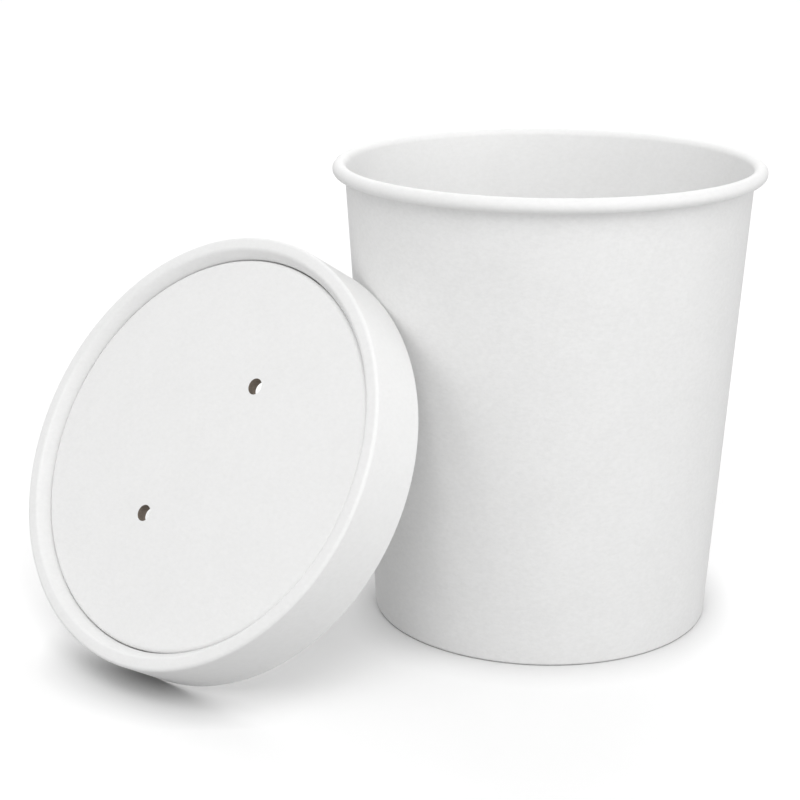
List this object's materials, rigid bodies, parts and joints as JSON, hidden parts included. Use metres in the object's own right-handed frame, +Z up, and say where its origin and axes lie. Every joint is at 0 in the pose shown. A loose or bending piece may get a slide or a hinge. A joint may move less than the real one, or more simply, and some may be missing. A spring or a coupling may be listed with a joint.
{
  "type": "takeaway soup container",
  "caption": "Plain white round paper soup container with a rolled rim and recessed foot, and its vented paper lid leaning on its side.",
  "frame": {"origin": "middle of the underside of the whole, cup and leaning lid together, on the surface they stand on", "axes": "+Z up along the cup's axis; the cup stands towards +X and +Y, and the lid leans on its -X side and faces -X and -Y; -Y is the pictured front"},
  "size_m": [0.1682, 0.1214, 0.1068],
  "materials": {
    "cup_paper": "smooth coated matt white paperboard",
    "cup_bottom_paper": "smooth coated matt white paperboard",
    "lid_ring_paper": "smooth coated matt white paperboard",
    "lid_disc_paper": "smooth coated matt white paperboard, raw brown-grey cut edge inside the vents"
  },
  "bodies": {
    "root": {"cup_wall": "cup_paper", "cup_bottom": "cup_bottom_paper", "lid_ring": "lid_ring_paper", "lid_disc": "lid_disc_paper"}
  },
  "joints": []
}
